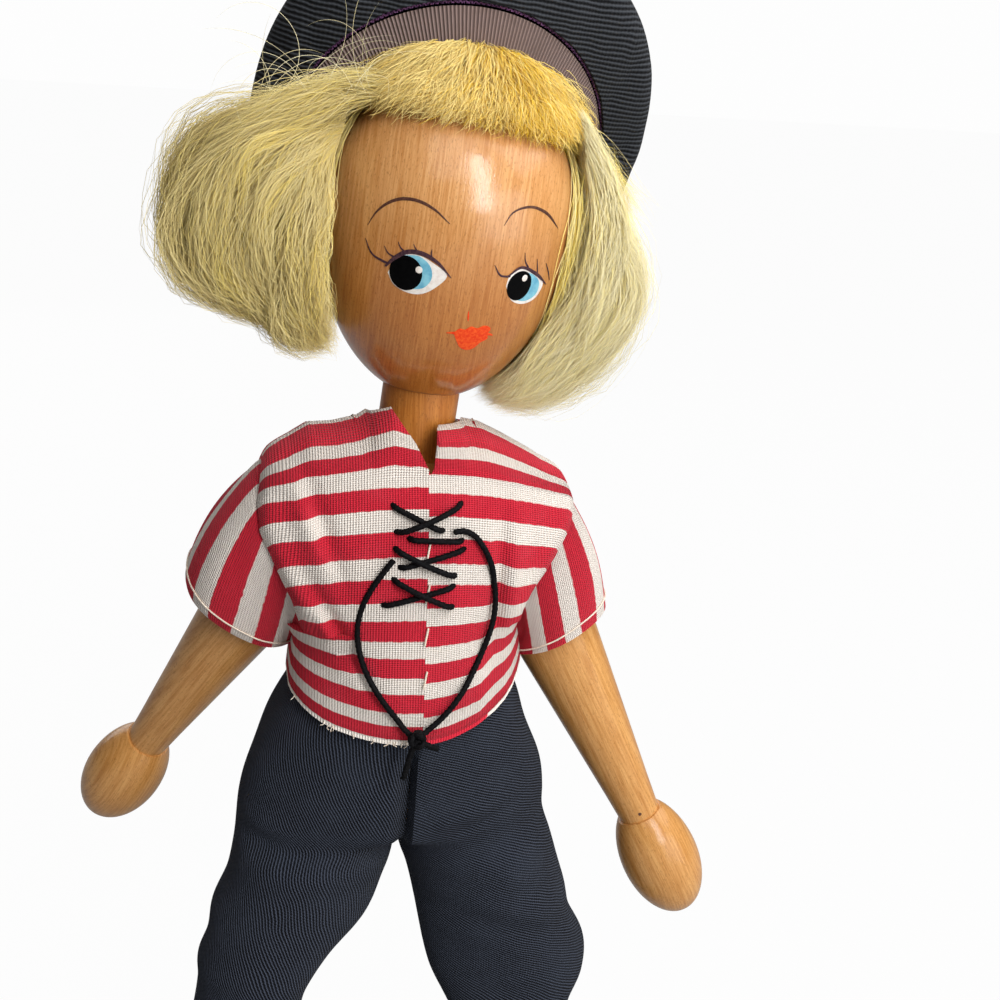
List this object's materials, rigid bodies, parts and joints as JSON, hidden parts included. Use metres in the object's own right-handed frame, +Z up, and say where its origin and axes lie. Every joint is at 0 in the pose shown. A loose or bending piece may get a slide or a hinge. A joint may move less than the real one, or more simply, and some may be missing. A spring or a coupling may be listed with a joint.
{
  "type": "wooden peg doll",
  "caption": "Turned wooden peg doll that stands, in a laced striped shirt, twill trousers and a beret, with a swivelling head and swinging arms and legs.",
  "frame": {"origin": "on the floor under the doll, midway between the shoes", "axes": "+Z up, the doll faces -Y, its left hand is towards +X"},
  "size_m": [0.1098, 0.0642, 0.2093],
  "materials": {
    "varnished_wood": "honey varnish, satin, vertical grain",
    "dowel_wood": "varnished dowel, end grain hidden",
    "shoe_paint": "black paint on wood, semi-gloss",
    "striped_cotton": "plain weave, red and cream stripes",
    "lace": "black waxed cord",
    "twill": "dark navy twill",
    "mohair": "fine pale blonde mohair",
    "beret_cloth": "dark navy ribbed cloth",
    "ribbon": "mauve brown grosgrain ribbon"
  },
  "bodies": {
    "torso": {"torso": "varnished_wood", "shirt_body": "striped_cotton", "chest_lacing": "lace", "lace_left_end": "lace", "lace_right_end": "lace", "lace_knot": "lace", "trouser_seat": "twill"},
    "head": {"head": "varnished_wood", "neck_dowel": "dowel_wood", "wig_cap": "mohair", "fringe": "mohair", "left_bunch": "mohair", "right_bunch": "mohair", "beret_crown": "beret_cloth", "beret_band": "ribbon"},
    "left_arm": {"left_arm": "varnished_wood", "left_hand": "varnished_wood", "left_shoulder_peg": "dowel_wood", "left_sleeve": "striped_cotton"},
    "right_arm": {"right_arm": "varnished_wood", "right_hand": "varnished_wood", "right_shoulder_peg": "dowel_wood", "right_sleeve": "striped_cotton"},
    "left_leg": {"left_leg": "varnished_wood", "left_hip_peg": "dowel_wood", "left_shoe": "shoe_paint", "trouser_left_leg": "twill"},
    "right_leg": {"right_leg": "varnished_wood", "right_hip_peg": "dowel_wood", "right_shoe": "shoe_paint", "trouser_right_leg": "twill"}
  },
  "joints": [
    {"name": "neck_swivel", "type": "hinge", "parent": "torso", "child": "head", "pos_m": [0, 0, 0.13], "axis": [0.1045, 0, 0.9945], "range_deg": [-90, 90]},
    {"name": "left_shoulder", "type": "hinge", "parent": "torso", "child": "left_arm", "pos_m": [0.0153, 0, 0.119], "axis": [-1, 0, 0], "range_deg": [-44, 106]},
    {"name": "right_shoulder", "type": "hinge", "parent": "torso", "child": "right_arm", "pos_m": [-0.0153, 0, 0.119], "axis": [-1, 0, 0], "range_deg": [-16, 134]},
    {"name": "left_hip", "type": "hinge", "parent": "torso", "child": "left_leg", "pos_m": [0.012, 0, 0.076], "axis": [-1, 0, 0], "range_deg": [-25, 90], "deforming": ["trouser_seat"]},
    {"name": "right_hip", "type": "hinge", "parent": "torso", "child": "right_leg", "pos_m": [-0.012, 0, 0.076], "axis": [-1, 0, 0], "range_deg": [-25, 90], "deforming": ["trouser_seat"]}
  ]
}
